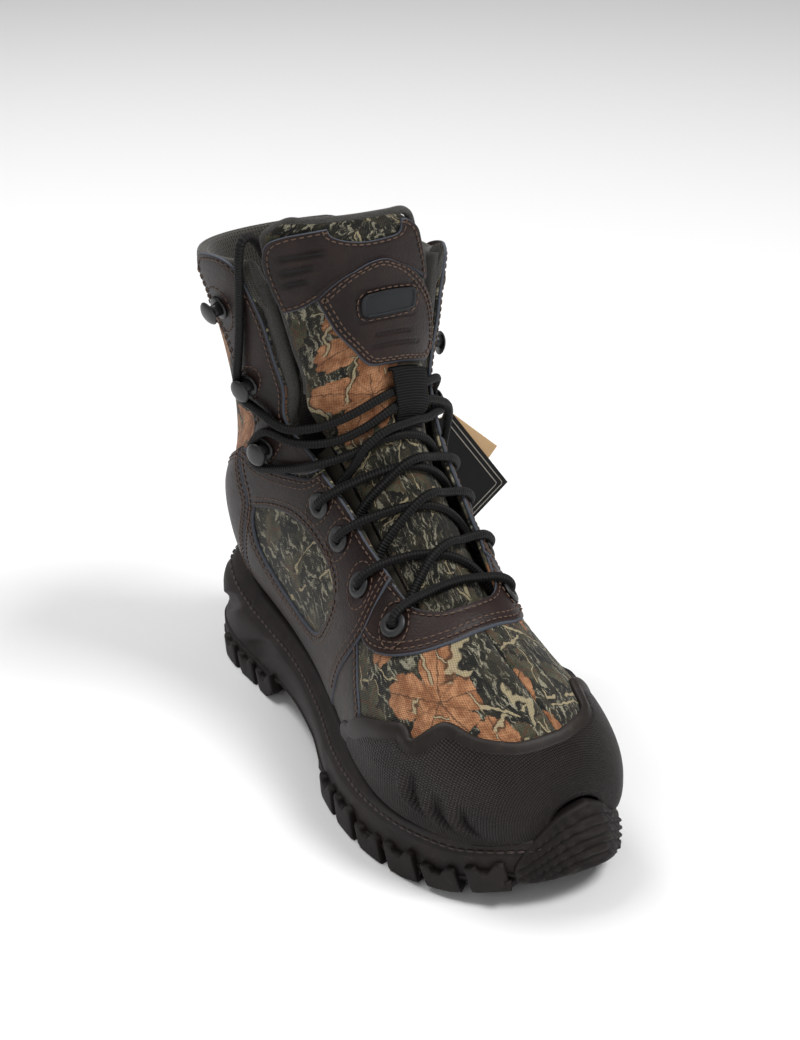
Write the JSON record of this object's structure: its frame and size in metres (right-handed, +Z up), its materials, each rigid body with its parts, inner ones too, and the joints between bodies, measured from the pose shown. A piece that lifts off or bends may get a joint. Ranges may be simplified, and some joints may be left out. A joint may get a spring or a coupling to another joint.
{
  "type": "insulated hunting boot",
  "caption": "Right-foot lace-up insulated hunting boot: lugged sole, rubber toe cap, leather and camouflage fabric upper, padded tongue, eyelets and speed hooks.",
  "frame": {"origin": "on the ground, under the middle of the boot's plan box, measured without the lace and the hang tags", "axes": "+Z up, the toe points along -Y, the lateral (outer) side is -X"},
  "size_m": [0.1682, 0.3146, 0.2786],
  "materials": {
    "sole_rubber": "matt dark brown moulded rubber",
    "midsole_foam": "matt dark brown moulded foam rubber",
    "cap_rubber": "dark brown rubber with fine embossing",
    "steel": "plain",
    "insulation": "thin fibre insulation",
    "mesh_lining": "dark olive brown mesh",
    "stiffener": "fibre board and thermoplastic",
    "footbed_foam": "fabric-faced foam",
    "camo_fabric": "woven nylon with a leaf and bark print",
    "leather": "very dark brown, softly glossy",
    "badge_rubber": "matt black",
    "webbing": "ribbed black webbing",
    "gusset_fabric": "dark woven nylon",
    "eyelet_plastic": "satin dark grey",
    "gunmetal": "gunmetal grey, satin",
    "lace_braid": "black round braid",
    "gloss_black": "black",
    "card_black": "black printed card",
    "card_kraft": "brown card"
  },
  "bodies": {
    "boot": {"collar_padding": "mesh_lining", "eyelets_lateral": "eyelet_plastic", "eyelets_medial": "eyelet_plastic", "gusset_lateral": "gusset_fabric", "gusset_medial": "gusset_fabric", "hang_tag_cord": "lace_braid", "heel_backstay": "leather", "heel_counter": "stiffener", "hook_facing_lateral": "leather", "hook_facing_medial": "leather", "hook_washers_lateral": "steel", "hook_washers_medial": "steel", "insole_board": "stiffener", "insulation": "insulation", "lace": "lace_braid", "lace_keeper": "webbing", "lace_tips": "gloss_black", "lining": "mesh_lining", "midsole": "midsole_foam", "outsole": "sole_rubber", "quarter_fabric_lateral": "camo_fabric", "quarter_fabric_medial": "camo_fabric", "quarter_overlay_lateral": "leather", "quarter_overlay_medial": "leather", "shank": "steel", "speed_hooks_lateral": "gunmetal", "speed_hooks_medial": "gunmetal", "toe_cap": "cap_rubber", "toe_puff": "stiffener", "tongue_lower": "camo_fabric", "vamp_fabric": "camo_fabric", "vamp_saddle": "leather"},
    "tongue_top": {"tongue_upper": "camo_fabric", "tongue_leather": "leather", "tongue_shield": "leather", "tongue_badge": "badge_rubber"},
    "footbed": {"footbed": "footbed_foam"},
    "hang_tags": {"hang_tag_card": "card_black", "hang_tag_kraft": "card_kraft"}
  },
  "joints": [
    {"name": "tongue_tilt", "type": "hinge", "parent": "boot", "child": "tongue_top", "pos_m": [-0.00009, 0.01335, 0.201], "axis": [1, 0, 0], "range_deg": [0, 30]},
    {"name": "footbed_lift", "type": "hinge", "parent": "boot", "child": "footbed", "pos_m": [0.00391, -0.12325, 0.036], "axis": [1, 0, 0], "range_deg": [0, 1.5]},
    {"name": "hang_tag_swing", "type": "hinge", "parent": "boot", "child": "hang_tags", "pos_m": [0.06091, 0.05575, 0.1475], "axis": [0, -1, 0], "range_deg": [0, 35]}
  ]
}
